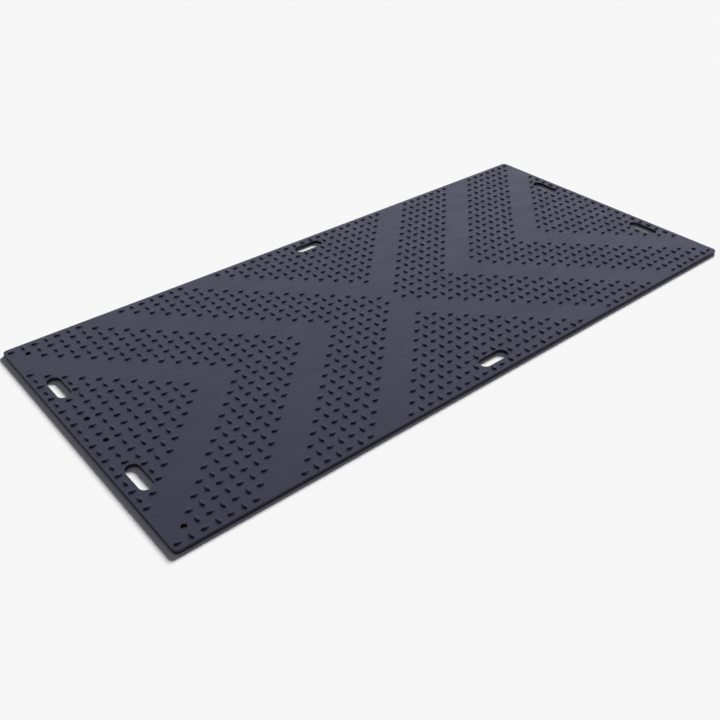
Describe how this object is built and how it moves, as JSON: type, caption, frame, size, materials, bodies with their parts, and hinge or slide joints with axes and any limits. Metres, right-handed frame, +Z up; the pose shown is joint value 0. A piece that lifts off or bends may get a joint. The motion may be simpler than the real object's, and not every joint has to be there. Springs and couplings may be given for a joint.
{
  "type": "ground protection mat",
  "caption": "Rectangular plastic ground protection mat with a studded tread, bare chevron bands, hand slots and link holes along its edges.",
  "frame": {"origin": "middle of the underside, on the ground that the mat lies on", "axes": "+X along the length, +Y across the width, +Z up, out of the studded face"},
  "size_m": [2.44, 1.13, 0.0177],
  "materials": {
    "mat_plastic": "black polyethylene, moulded satin surface with a faint violet cast"
  },
  "bodies": {
    "root": {"mat": "mat_plastic"}
  },
  "joints": []
}
